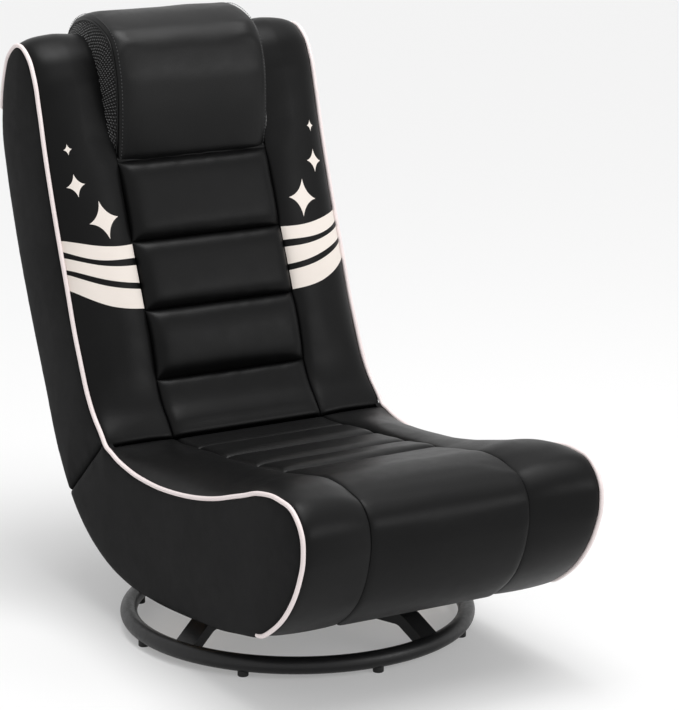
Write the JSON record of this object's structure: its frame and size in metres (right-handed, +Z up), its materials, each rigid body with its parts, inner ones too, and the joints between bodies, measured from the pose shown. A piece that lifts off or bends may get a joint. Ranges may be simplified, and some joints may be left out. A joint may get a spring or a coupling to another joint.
{
  "type": "folding swivel floor chair",
  "caption": "Padded floor chair whose back folds forward onto its seat, turning on a low tubular ring base, with bolsters, piped side panels and a headrest pillow.",
  "frame": {"origin": "swivel axis at floor level, the middle of the ring of feet", "axes": "+X to the sitter's left, +Y to the rear, +Z up; the sitter faces -Y"},
  "size_m": [0.4989, 0.9061, 0.8188],
  "materials": {
    "black_leather": "satin",
    "pale_piping": "satin",
    "mesh": "matte",
    "lining": "matte",
    "foam": "matte",
    "plywood": "matte",
    "black_steel": "satin",
    "zinc_steel": "satin",
    "rubber_foot": "matte"
  },
  "bodies": {
    "base": {"base_ring": "black_steel", "base_feet": "rubber_foot", "base_arm_1": "black_steel", "base_arm_2": "black_steel", "base_arm_3": "black_steel", "base_arm_4": "black_steel", "base_plate": "black_steel", "king_pin": "zinc_steel", "king_washer": "zinc_steel", "king_nut": "zinc_steel"},
    "bearing": {"bearing_cage": "zinc_steel", "bearing_balls": "zinc_steel"},
    "seat": {"swivel_plate": "black_steel", "swivel_bolts": "zinc_steel", "swivel_tee_nuts": "zinc_steel", "seat_deck": "plywood", "seat_front_rail": "plywood", "seat_rear_rail": "plywood", "seat_front_core": "foam", "seat_support_board": "plywood", "seat_front_cover": "lining", "seat_rear_cover": "lining", "seat_end_cover": "lining", "seat_centre_pad": "black_leather", "seat_hinge_screws": "zinc_steel", "seat_side_board_left": "plywood", "seat_side_board_right": "plywood", "seat_bolster_left": "black_leather", "seat_bolster_right": "black_leather", "seat_side_panel_left": "black_leather", "seat_side_panel_right": "black_leather", "seat_piping_left": "pale_piping", "seat_piping_right": "pale_piping", "seat_hinge_leaf_left": "zinc_steel", "seat_hinge_leaf_right": "zinc_steel", "piping_bend_left": "pale_piping", "piping_bend_right": "pale_piping"},
    "back": {"back_bottom_rail": "plywood", "back_middle_rail": "plywood", "back_top_rail": "plywood", "back_top_core": "foam", "back_support_board": "plywood", "back_rear_cover": "black_leather", "back_end_cover": "lining", "back_centre_pad": "black_leather", "back_hinge_screws": "zinc_steel", "hinge_pins": "zinc_steel", "headrest_pillow": "black_leather", "back_side_board_left": "plywood", "back_side_board_right": "plywood", "back_bolster_left": "black_leather", "back_bolster_right": "black_leather", "back_side_panel_left": "black_leather", "back_side_panel_right": "black_leather", "back_piping_left": "pale_piping", "back_piping_right": "pale_piping", "back_hinge_leaf_left": "zinc_steel", "back_hinge_leaf_right": "zinc_steel", "headrest_gusset_left": "mesh", "headrest_gusset_right": "mesh"}
  },
  "joints": [
    {"name": "swivel", "type": "hinge", "parent": "base", "child": "seat", "pos_m": [0, 0, 0.0669], "axis": [0, 0, 1], "continuous": true},
    {"name": "bearing_roll", "type": "hinge", "parent": "base", "child": "bearing", "pos_m": [0, 0, 0.0669], "axis": [0, 0, 1], "continuous": true},
    {"name": "back_fold", "type": "hinge", "parent": "seat", "child": "back", "pos_m": [0, 0.153, 0.25236], "axis": [1, 0, 0], "range_deg": [0, 98], "deforming": ["piping_bend_left", "piping_bend_right"]}
  ],
  "couplings": [
    {"joint": "bearing_roll", "follows": "swivel", "ratio": 0.5}
  ]
}
